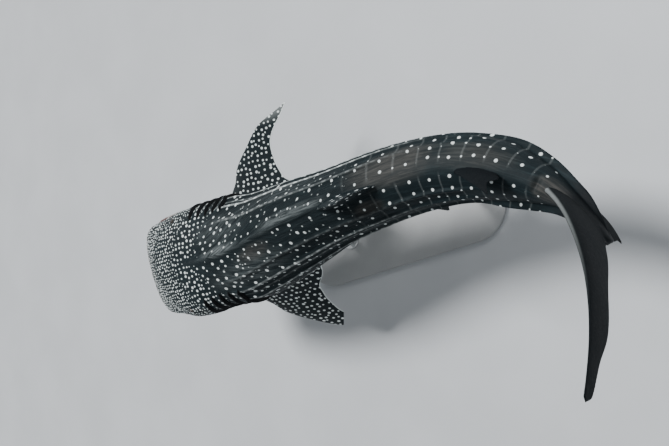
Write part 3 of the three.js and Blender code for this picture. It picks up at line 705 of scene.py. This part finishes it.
class Wire:
    # Wraps a node's output so that shader maths can be written as plain expressions.
    def __init__(self, tree, socket=None):
        self.tree, self.socket = tree, socket

    def node(self, kind, settings=None, sockets=None, output=0):
        made = self.tree.nodes.new(kind if "Node" in kind else "ShaderNode" + kind)
        for key, value in (settings or {}).items():
            setattr(made, key, value)
        for key, value in (sockets or {}).items():
            if isinstance(value, Wire):
                self.tree.links.new(value.socket, made.inputs[key])
            else:
                made.inputs[key].default_value = value
        return Wire(self.tree, made.outputs[output])

    def maths(self, operation, *values):
        return self.node("Math", {"operation": operation}, dict(enumerate(values)))

    def split(self, kind, count):
        return [self.node("Separate" + kind, None, {0: self}, i) for i in range(count)]

    def join(self, x, y, z):
        return self.node("CombineXYZ", None, {0: x, 1: y, 2: z})

    def noise(self, scale, detail, rough=0.5, twist=0.0):
        return self.node("TexNoise", None, {"Vector": self, "Scale": scale, "Detail": detail,
                                            "Roughness": rough, "Distortion": twist})

    def __add__(self, other):
        return self.maths("ADD", self, other)

    def __sub__(self, other):
        return self.maths("SUBTRACT", self, other)

    def __rsub__(self, other):
        return self.maths("SUBTRACT", other, self)

    def __mul__(self, other):
        return self.maths("MULTIPLY", self, other)

    def __truediv__(self, other):
        return self.maths("DIVIDE", self, other)

    def __abs__(self):
        return self.maths("ABSOLUTE", self)

    __radd__, __rmul__ = __add__, __mul__

    def step(self, low, high):
        return self.node("MapRange", {"interpolation_type": "SMOOTHSTEP"},
                         {"Value": self, "From Min": low, "From Max": high})

    def band(self, low, lowFull, highFull, high):
        return self.step(low, lowFull) * (1 - self.step(highFull, high))

    def most(self, other):
        return self.maths("MAXIMUM", self, other)

    def least(self, other):
        return self.maths("MINIMUM", self, other)

    def mix(self, low, high):
        # Blends two colours by this value.
        return self.node("Mix", {"data_type": "RGBA"}, {0: self, 6: low, 7: high}, 2)


def newMaterial(name):
    material = bpy.data.materials.new(name)
    material.use_nodes = True
    tree = material.node_tree
    tree.nodes.clear()
    sheet = Wire(tree)
    return material, sheet, sheet.node("TexCoord", None, None, 3)


def finishMaterial(material, sheet, colour, rough, bumps, others={}):
    # bumps is a list of (height, distance, strength), from the broadest to the finest.
    normal = {}
    for height, distance, strength in bumps:
        sockets = {"Height": height, "Distance": distance, "Strength": strength}
        normal = {"Normal": sheet.node("Bump", None, {**sockets, **normal})}
    values = {"Base Color": colour, "Roughness": rough, **others, **normal}
    shader = sheet.node("BsdfPrincipled", None, values)
    output = sheet.tree.nodes.new("ShaderNodeOutputMaterial")
    sheet.tree.links.new(shader.socket, output.inputs[0])
    return material


skinLook = {
    # The pale grey is a painted highlight colour for the lit back.
    "dark": (0.0040, 0.0095, 0.012, 1), "mid": (0.016, 0.028, 0.032, 1), "grey": (0.15, 0.17, 0.172, 1),
    # The near black of the hind fins is partly their own dark tone, partly painted shade.
    "darkFin": (0.0020, 0.0034, 0.005, 1),
    # The brown is partly the skin's own tone, partly painted light.
    "brown": (0.080, 0.075, 0.068, 1), "belly": (0.50, 0.52, 0.50, 1), "spot": (0.80, 0.86, 0.85, 1),
    # The slit colour is painted shade in the gill openings.
    "inside": (0.12, 0.075, 0.07, 1), "slit": (0.002, 0.003, 0.004, 1), "lip": (0.36, 0.33, 0.31, 1),
    "tailFrom": 3.5, "tailColumn": 0.185, "trunkColumn": 0.25, "firstRow": 0.078, "rowPitch": 0.105,
    "edge": 0.0035,
}
# Each kind of dot: pitch and radius in metres, unevenness, squash along the body, strength.
dotLook = {
    "lip": (0.027, 0.0076, 0.7, 0.75, 1.0),
    "snout": (0.039, 0.0096, 0.5, 0.85, 1.0),
    "head": (0.053, 0.0126, 0.5, 0.75, 1.0),
    "neck": (0.086, 0.0138, 0.6, 0.62, 1.0),
    "trunk": (0.108, 0.0066, 0.7, 0.62, 0.5),
    "pectoral": (0.06, 0.0128, 0.6, 1.0, 1.0),
    "dorsal": (0.11, 0.015, 0.7, 1.0, 1.0),
}
# Painted highlights, paler grey areas where light falls on the back's ridges and right flank: place along the
# body and across it, half lengths both ways, strength.
greyHighlightPatches = [
    (1.25, 0.03, 0.28, 0.06, 1.0),
    (1.6, 0.0, 0.9, 0.03, 0.3),
    (2.25, 0.06, 0.40, 0.06, 1.0),
    (1.55, -0.28, 0.5, 0.14, 0.4),
    (1.30, 0.25, 0.4, 0.16, 0.35),
    (2.1, 0.36, 0.7, 0.12, 0.25),
]
# Brownish patches, partly the skin's own brownish tone and partly painted light on lit parts of the back and
# flanks, with the same columns.
brownLitPatches = [
    (1.68, -0.13, 0.22, 0.08, 0.55),
    (3.05, -0.17, 0.15, 0.06, 0.6),
    (3.35, 0.12, 0.42, 0.17, 0.6),
    (4.0, 0.10, 0.35, 0.12, 0.4),
    (4.68, 0.0, 0.14, 0.10, 0.7),
]


def dots(lay, look, weight):
    # Round spots about one to a cell. Each has its own size, and weight fades them out.
    pitch, size, random, squash, strength = look
    scale = (squash / pitch, 1 / pitch, 0)
    stretched = lay.node("VectorMath", {"operation": "MULTIPLY"}, {0: lay, 1: scale})
    cell = stretched.node("TexVoronoi", {"voronoi_dimensions": "2D"},
                          {"Vector": stretched, "Scale": 1.0, "Randomness": random})
    chance = Wire(lay.tree, cell.socket.node.outputs["Color"]).split("Color", 1)[0]
    radius = weight * (size / pitch) * (chance * 0.5 + 0.68)
    soft = skinLook["edge"] / pitch
    return (1 - (cell - radius).step(-soft, soft)) * weight.step(0.05, 0.3) * strength


def bodyRows(u, across, hand, onBody):
    # Rings of spots: on the tail every ring of bright spots is followed by a thin pale bar with
    # dim spots on it. On the trunk the rings break up into scattered spots.
    order = u.step(2.2, 3.2)
    behind = u - skinLook["tailFrom"]
    pair = behind.least(0.0) / skinLook["trunkColumn"] + behind.most(0.0) / skinLook["tailColumn"]
    column = pair * 2.0 + 100.0
    row = (across - skinLook["firstRow"]) / skinLook["rowPitch"]
    columnNumber = column.maths("FLOOR", column + 0.5)
    rowNumber = row.maths("FLOOR", row + 0.5)
    key = columnNumber.join(columnNumber, rowNumber, hand)
    jitter = key.node("TexWhiteNoise", {"noise_dimensions": "3D"}, {"Vector": key}, 1).split("Color", 3)
    half = columnNumber.maths("MODULO", columnNumber, 2.0)
    looseness = 0.62 - order * 0.48
    halfPitch = 0.125 - behind.step(-0.02, 0.02) * 0.0325
    dx = (column - columnNumber - (jitter[0] - 0.5) * looseness) * halfPitch
    dy = (row - rowNumber - (jitter[1] - 0.5) * (looseness + 0.12)) * skinLook["rowPitch"]
    # Each spot on the trunk is drawn out along one diagonal. On the tail it is round.
    drawn = 0.3 + order * 0.18
    total, apart = dx + dy, dx - dy
    away = dx.maths("SQRT", total * total * drawn + apart * apart * (0.92 - drawn))
    scattered = 0.006 + jitter[2] * 0.009
    ringed = (1 - half) * (0.0108 + jitter[2] * 0.003) + half * jitter[2].step(0.3, 0.9) * 0.007
    radius = scattered * (1 - order) + ringed * order
    zone = onBody * (u - across * 0.35).step(1.3, 1.6) * row.step(-0.55, -0.45) * (1 - u.step(4.55, 4.7))
    soft = skinLook["edge"]
    spots = (1 - (away - radius * zone).step(-soft, soft)) * zone.step(0.2, 0.5)
    line = half * (1 - abs(column - columnNumber).step(0.03, 0.13)) * across.step(0.02, 0.09)
    bars = line * onBody * (u - across * 0.3).step(2.5, 3.2) * (1 - u.step(4.5, 4.65))
    return spots, bars


def ridgeLinesAndHighlights(u, share, station, hand, onBody):
    # Pale lines along the side ridges, with long bright beads on them, partly painted highlight on the ridge
    # crests, drawn stronger on the right side where the light falls.
    nearBead = abs((u / 0.125).maths("FRACT", u / 0.125) - 0.5)
    beads = 1 - nearBead.step(0.1, 0.24)
    ridgeHighlight = onBody * 0.0
    for nominal, strength in ((30, 0.2), (48, 0.9), (58, 0.3), (68, 0.9)):
        off = abs(abs(share) - nominal / 180)
        ridgeHighlight = ridgeHighlight + (1 - off.step(0.0035, 0.0105)) * strength * (0.5 + beads * 0.8)
    # The right side gets the full painted highlight, the left side about a third of it.
    return ridgeHighlight * onBody * station.band(0.17, 0.25, 0.44, 0.62) * (hand * 0.65 + 0.35)


def patches(u, w, places, grain):
    total = u * 0.0
    for along, side, halfLength, halfWide, strength in places:
        dx = (u - along) / halfLength
        dy = (w - side) / halfWide
        far = dx * dx + dy * dy + (grain - 0.5) * 1.6
        total = total.most((1 - far.step(0.0, 1.7)) * strength)
    return total


def skinMaterial():
    material, sheet, place = newMaterial("spottedSkin")
    lay = sheet.node("UVMap", {"uv_map": "lay"})
    trail = sheet.node("UVMap", {"uv_map": "trail"})
    tint = sheet.node("VertexColor", {"layer_name": "tint"})
    kind, slit, belly = tint.split("Color", 3)
    inside = Wire(sheet.tree, tint.socket.node.outputs["Alpha"])
    u, w = lay.split("XYZ", 2)
    share, station = trail.split("XYZ", 2)
    onBody = 1 - kind.step(0.15, 0.3)
    onPectoral = kind.step(0.85, 0.95)
    onDorsal = kind.band(0.53, 0.57, 0.63, 0.67)
    onLobe = kind.band(0.3, 0.37, 0.43, 0.47)
    across = abs(w)
    hand = w.maths("GREATER_THAN", w, 0.0)

    # Head: fine marks at the lip, round dots on the crown, larger ones on the neck.
    reach = u - across * 0.7
    crown = 1 - u.step(0.45, 0.7) * (1 - across.step(0.015, 0.05))
    neckEnd = 1 - (u - across * 0.35).step(1.35, 1.6)
    lipZone = onBody * (1 - reach.step(-0.16, 0.04))
    snoutZone = onBody * reach.band(-0.14, 0.02, 0.22, 0.42)
    headZone = onBody * reach.band(0.24, 0.4, 0.62, 0.88) * crown
    neckZone = onBody * reach.step(0.66, 0.86) * neckEnd * across.step(0.02, 0.06)
    trunkZone = onBody * reach.step(1.0, 1.3) * (1 - u.step(2.5, 3.3)) * across.step(0.05, 0.09)
    slant = u.join(u + across * 0.8 + hand * 31.7, across - u * 0.6, 0.0)
    marks, bars = bodyRows(u, across, hand, onBody)
    layers = (
        (lay, "lip", lipZone), (lay, "snout", snoutZone), (lay, "head", headZone), (slant, "neck", neckZone),
        (slant, "trunk", trunkZone), (lay, "pectoral", onPectoral), (lay, "dorsal", onDorsal),
    )
    for spotMap, name, zone in layers:
        marks = marks.most(dots(spotMap, dotLook[name], zone))

    # Clouds and streaks that run along the body, and the fine grain of the skin.
    wide = place.noise(2.2, 6.0, 0.62)
    fine = place.noise(70.0, 4.0)
    belt = across - u.least(2.0) * 0.35
    streaks = u.join(u * 4.0 + across * 3.0, belt * 42.0, hand * 9.0).noise(1.0, 6.0, 0.68, 0.6)
    mottle = wide.step(0.45, 0.8) * 0.3 + streaks.step(0.48, 0.7) * 0.7 * onBody + (fine - 0.5) * 0.3
    # The second dorsal, the anal fin, the tail lobes and the end of the tail are painted near black: partly
    # their own dark tone, partly painted shade.
    darkFin = (1 - onBody) * (1 - kind.step(0.53, 0.57))
    darkTail = onBody * u.step(4.68, 4.85)
    # Partly brownish skin, partly painted light on the lit back and flanks.
    brown = patches(u, w, brownLitPatches, wide) * (0.3 + streaks.step(0.35, 0.65) * 0.7) * onBody
    # Painted highlight: pale grey where light falls on the back.
    grey = patches(u, w, greyHighlightPatches, streaks) * onBody * streaks.step(0.36, 0.68) * 1.1

    # Everything pale: the spots, the pectoral fins' rims, the lines along the ridges with their painted
    # highlight, and a painted highlight along the tail's front edge.
    rim = onPectoral * (1 - slit.step(0.004, 0.013)) + onPectoral * station.step(0.84, 1.0) * 0.2
    ridgeHighlight = ridgeLinesAndHighlights(u, share, station, hand, onBody)
    # Painted highlight along the front edges of the tail lobes.
    tailEdgeHighlight = onLobe * (1 - share.step(0.0, 0.045)) * (1 - station.step(0.1, 0.75)) * 0.22
    marks = marks.most(rim).most(ridgeHighlight * (0.5 + fine)).most(tailEdgeHighlight)
    marks = (marks * (0.66 + fine * 0.5)).least(1.0) * (1 - inside)
    # Painted shade: the gill slits are painted near black, as if in shadow.
    gillSlitShade = (slit * onBody * station.step(0.09, 0.1)).step(0.1, 0.45) * (1 - inside)
    lipMask = slit * onBody * (1 - station.step(0.085, 0.09)) * (0.4 + fine * 0.7)
    colour = mottle.most(0.0).mix(skinLook["dark"], skinLook["mid"])
    coats = (
        (darkFin.most(darkTail) * 0.85, "darkFin"), (brown, "brown"), (grey.least(1.0), "grey"),
        ((belly * onBody * (0.75 + fine * 0.4)).least(1.0), "belly"), (bars * 0.05 * (0.4 + fine), "spot"),
        (marks, "spot"), (gillSlitShade, "slit"), (lipMask.least(0.9), "lip"), (inside, "inside"),
    )
    for mask, name in coats:
        colour = mask.mix(colour, skinLook[name])
    rough = 0.62 + (fine - 0.5) * 0.25 + (wide - 0.5) * 0.15 + darkFin * 0.2
    scales = place.node("TexVoronoi", None, {"Vector": place, "Scale": 420.0})
    folds = streaks * onBody * u.band(0.85, 1.15, 2.6, 3.6)
    bumps = [(wide, 0.02, 0.5), (folds, 0.03, 0.8), (place.noise(18.0, 6.0, 0.62), 0.004, 0.5),
             (scales, 0.0008, 0.35)]
    return finishMaterial(material, sheet, colour, rough, bumps, {"Specular IOR Level": 0.15})


skin = buildSkin()
skin.data.materials.clear()
skin.data.materials.append(skinMaterial())
fleshNodes = [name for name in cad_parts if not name.startswith(("eye", "stand"))]
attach(skin, "root")
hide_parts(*fleshNodes)
print("skin finished")

eyeLook = {
    "pupil": (0.002, 0.002, 0.003, 1), "iris": (0.035, 0.028, 0.02, 1), "white": (0.35, 0.34, 0.31, 1),
    "pupilEdge": (0.34, 0.4), "irisEdge": (0.98, 1.1),
}


def eyeMaterial(hand):
    material, sheet, place = newMaterial("eye" + ("Right" if hand > 0 else "Left"))
    turn = sheet.node("UVMap", {"uv_map": "gaze"}).split("XYZ", 1)[0]
    grain = place.noise(300.0, 4.0)
    colour = (turn + grain * 0.05).step(*eyeLook["pupilEdge"]).mix(eyeLook["pupil"], eyeLook["iris"])
    colour = (turn + grain * 0.1).step(*eyeLook["irisEdge"]).mix(colour, eyeLook["white"])
    coat = {"Coat Weight": 0.6, "Coat Roughness": 0.03}
    return finishMaterial(material, sheet, colour, 0.06 + grain * 0.05, [(grain, 0.0003, 0.2)], coat)


def buildEye(hand):
    centre, outward = eyePlace(hand)
    middle = pose(centre)
    gaze = pose(centre + outward * 0.05) - middle
    gaze = Vector(gaze / np.linalg.norm(gaze))
    mesh = bmesh.new()
    bmesh.ops.create_uvsphere(mesh, u_segments=48, v_segments=32, radius=eyes["radius"])
    turn = Vector((0, 0, 1)).rotation_difference(gaze).to_matrix().to_4x4()
    layer = mesh.loops.layers.uv.new("gaze")
    for face in mesh.faces:
        face.smooth = True
        for loop in face.loops:
            loop[layer].uv = (math.acos(max(-1, min(1, loop.vert.co.normalized().z))) / math.pi * 2, 0)
    # The clear front of the eye stands out a little.
    for vert in mesh.verts:
        out = vert.co.normalized().z
        vert.co *= 1 + eyes["bulge"] * max(0, out - eyes["bulgeFrom"]) / (1 - eyes["bulgeFrom"])
    bmesh.ops.transform(mesh, matrix=Matrix.Translation(middle) @ turn, verts=mesh.verts)
    name = "eyeRight" if hand > 0 else "eyeLeft"
    data = bpy.data.meshes.new(name)
    mesh.to_mesh(data)
    mesh.free()
    data.materials.append(eyeMaterial(hand))
    eye = addObject(name, data)
    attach(eye, "root")
    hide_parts("eye_right" if hand > 0 else "eye_left")


for hand in (1, -1):
    buildEye(hand)
print("eyes finished")

standLook = {
    "paint": (0.36, 0.37, 0.375, 1), "paintDark": (0.30, 0.31, 0.315, 1),
    "steel": (0.60, 0.61, 0.62, 1), "steelDull": (0.5, 0.51, 0.52, 1), "brush": (12.0, 12.0, 900.0),
}


def paintMaterial():
    material, sheet, place = newMaterial("basePaint")
    speckle, cloud = place.noise(260.0, 3.0), place.noise(2.5, 5.0)
    colour = (speckle * 0.6 + cloud * 0.5).step(0.35, 0.75).mix(standLook["paintDark"], standLook["paint"])
    rough = 0.5 + (speckle - 0.5) * 0.2
    return finishMaterial(material, sheet, colour, rough, [(speckle, 0.0006, 0.3)])


def steelMaterial():
    material, sheet, place = newMaterial("brushedSteel")
    drawn = place.node("VectorMath", {"operation": "MULTIPLY"}, {0: place, 1: standLook["brush"]})
    brush = drawn.noise(1.0, 4.0)
    colour = brush.step(0.2, 0.9).mix(standLook["steel"], standLook["steelDull"])
    rough = 0.26 + brush * 0.16
    return finishMaterial(material, sheet, colour, rough, [(brush, 0.0003, 0.3)], {"Metallic": 1.0})


paint, steel = paintMaterial(), steelMaterial()
for name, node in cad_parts.items():
    if name.startswith("stand"):
        node.data.materials.clear()
        node.data.materials.append(paint if name == "stand_base" else steel)

bolts = {
    "count": 6, "ring": 0.082, "radius": 0.0085, "height": 0.0075, "washer": 1.7, "washerHeight": 0.0022,
    "washerSides": 32, "turn": 1.05, "seed": 7,
}


def lifted(part, height):
    lift = part.node("CombineXYZ", None, {2: height})
    return part.node("GeometryNodeTransform", None, {"Geometry": part, "Translation": lift})


def boltRing():
    # A ring of hexagon bolts on washers, each turned a little differently.
    tree = bpy.data.node_groups.new("boltRing", "GeometryNodeTree")
    tree.interface.new_socket("Geometry", in_out="OUTPUT", socket_type="NodeSocketGeometry")
    inputs = {"Foot": "Vector", "Count": "Int", "Ring": "Float", "Radius": "Float", "Height": "Float",
              "Washer": "Float", "Washer Height": "Float", "Material": "Material"}
    for name, kind in inputs.items():
        tree.interface.new_socket(name, in_out="INPUT", socket_type="NodeSocket" + kind)
    made = tree.nodes.new("NodeGroupInput")
    given = {name: Wire(tree, made.outputs[name]) for name in inputs}
    start = given["Foot"]
    circle = start.node("GeometryNodeMeshCircle", None, {"Vertices": given["Count"], "Radius": given["Ring"]})
    disc = {"Vertices": bolts["washerSides"], "Radius": given["Radius"] * given["Washer"],
            "Depth": given["Washer Height"]}
    flat = start.node("GeometryNodeMeshCylinder", None, disc)
    hexagon = {"Vertices": 6, "Radius": given["Radius"], "Depth": given["Height"]}
    head = start.node("GeometryNodeMeshCylinder", None, hexagon)
    flat = lifted(flat, given["Washer Height"] * 0.5)
    head = lifted(head, given["Washer Height"] + given["Height"] * 0.5)
    both = start.node("GeometryNodeJoinGeometry")
    for part in (flat, head):
        tree.links.new(part.socket, both.socket.node.inputs[0])
    drawn = {2: 0.0, 3: bolts["turn"], "Seed": bolts["seed"]}
    spin = start.node("FunctionNodeRandomValue", {"data_type": "FLOAT"}, drawn, 1)
    placed = {"Points": circle, "Instance": both, "Rotation": start.node("CombineXYZ", None, {2: spin})}
    ring = start.node("GeometryNodeInstanceOnPoints", None, placed)
    ring = start.node("GeometryNodeTransform", None, {"Geometry": ring, "Translation": given["Foot"]})
    ring = start.node("GeometryNodeRealizeInstances", None, {"Geometry": ring})
    ring = start.node("GeometryNodeSetMaterial", None, {"Geometry": ring, "Material": given["Material"]})
    tree.links.new(ring.socket, tree.nodes.new("NodeGroupOutput").inputs[0])
    return tree


def buildBolts(tree, place):
    # The bolts stand on top of the named flange.
    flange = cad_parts["stand_flange_" + place]
    corners = np.array([flange.matrix_world @ vert.co for vert in flange.data.vertices])
    low, high = corners.min(0), corners.max(0)
    foot = ((low[0] + high[0]) / 2, (low[1] + high[1]) / 2, high[2])
    name = "bolts" + place.title()
    ring = addObject(name, bpy.data.meshes.new(name))
    change = ring.modifiers.new("ring", "NODES")
    change.node_group = tree
    values = {"Foot": foot, "Count": bolts["count"], "Ring": bolts["ring"], "Radius": bolts["radius"],
              "Height": bolts["height"], "Washer": bolts["washer"], "Washer Height": bolts["washerHeight"],
              "Material": steel}
    for item in tree.interface.items_tree:
        if item.name in values:
            change[item.identifier] = values[item.name]
    applyModifiers(ring)
    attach(ring, "root")


ringTree = boltRing()
for place in ("front", "rear"):
    buildBolts(ringTree, place)
print("stand finished")

floorLook = {
    "pale": (0.52, 0.54, 0.56, 1), "shade": (0.48, 0.50, 0.52, 1), "size": 160.0,
    "gap": 0.001,  # below the stand
}


def buildFloor():
    half = floorLook["size"] / 2
    data = bpy.data.meshes.new("paleFloor")
    corners = [(-half, -half, 0), (half, -half, 0), (half, half, 0), (-half, half, 0)]
    data.from_pydata(corners, [], [(0, 1, 2, 3)])
    material, sheet, place = newMaterial("paleFloor")
    cloud = place.noise(0.8, 6.0)
    colour = cloud.step(0.3, 0.7).mix(floorLook["shade"], floorLook["pale"])
    finishMaterial(material, sheet, colour, 0.6 + cloud * 0.2, [(cloud, 0.001, 0.2)])
    data.materials.append(material)
    floor = addObject("paleFloor", data)
    floor.location.z = cadBox[0][2] - floorLook["gap"]


buildFloor()

lamps = {
    "key": {"kind": "SUN", "place": (-3.5, 2.5, 8.5), "aim": (0, 0, 1.2), "size": 0.3, "power": 4.4},
    "fill": {"kind": "SUN", "place": (4.0, -5.0, 6.0), "aim": (0, 0, 1.0), "size": 0.9, "power": 0.35},
    "edge": {"kind": "AREA", "place": (3.0, 6.0, 4.0), "aim": (0.5, 0, 1.5), "size": 3.0, "power": 120},
}
room = {"colour": (0.85, 0.9, 0.95, 1), "strength": 0.3}


def addLamps():
    for name, lamp in lamps.items():
        data = bpy.data.lights.new(name, lamp["kind"])
        data.energy = lamp["power"]
        setattr(data, "angle" if lamp["kind"] == "SUN" else "size", lamp["size"])
        light = addObject(name, data)
        aim = Vector(lamp["aim"]) - Vector(lamp["place"])
        light.location = lamp["place"]
        light.rotation_euler = aim.to_track_quat("-Z", "Y").to_euler()
    world = bpy.data.worlds.new("softRoom")
    world.use_nodes = True
    sky = world.node_tree.nodes["Background"]
    sky.inputs[0].default_value = room["colour"]
    sky.inputs[1].default_value = room["strength"]
    bpy.context.scene.world = world


addLamps()
print("floor and light finished")
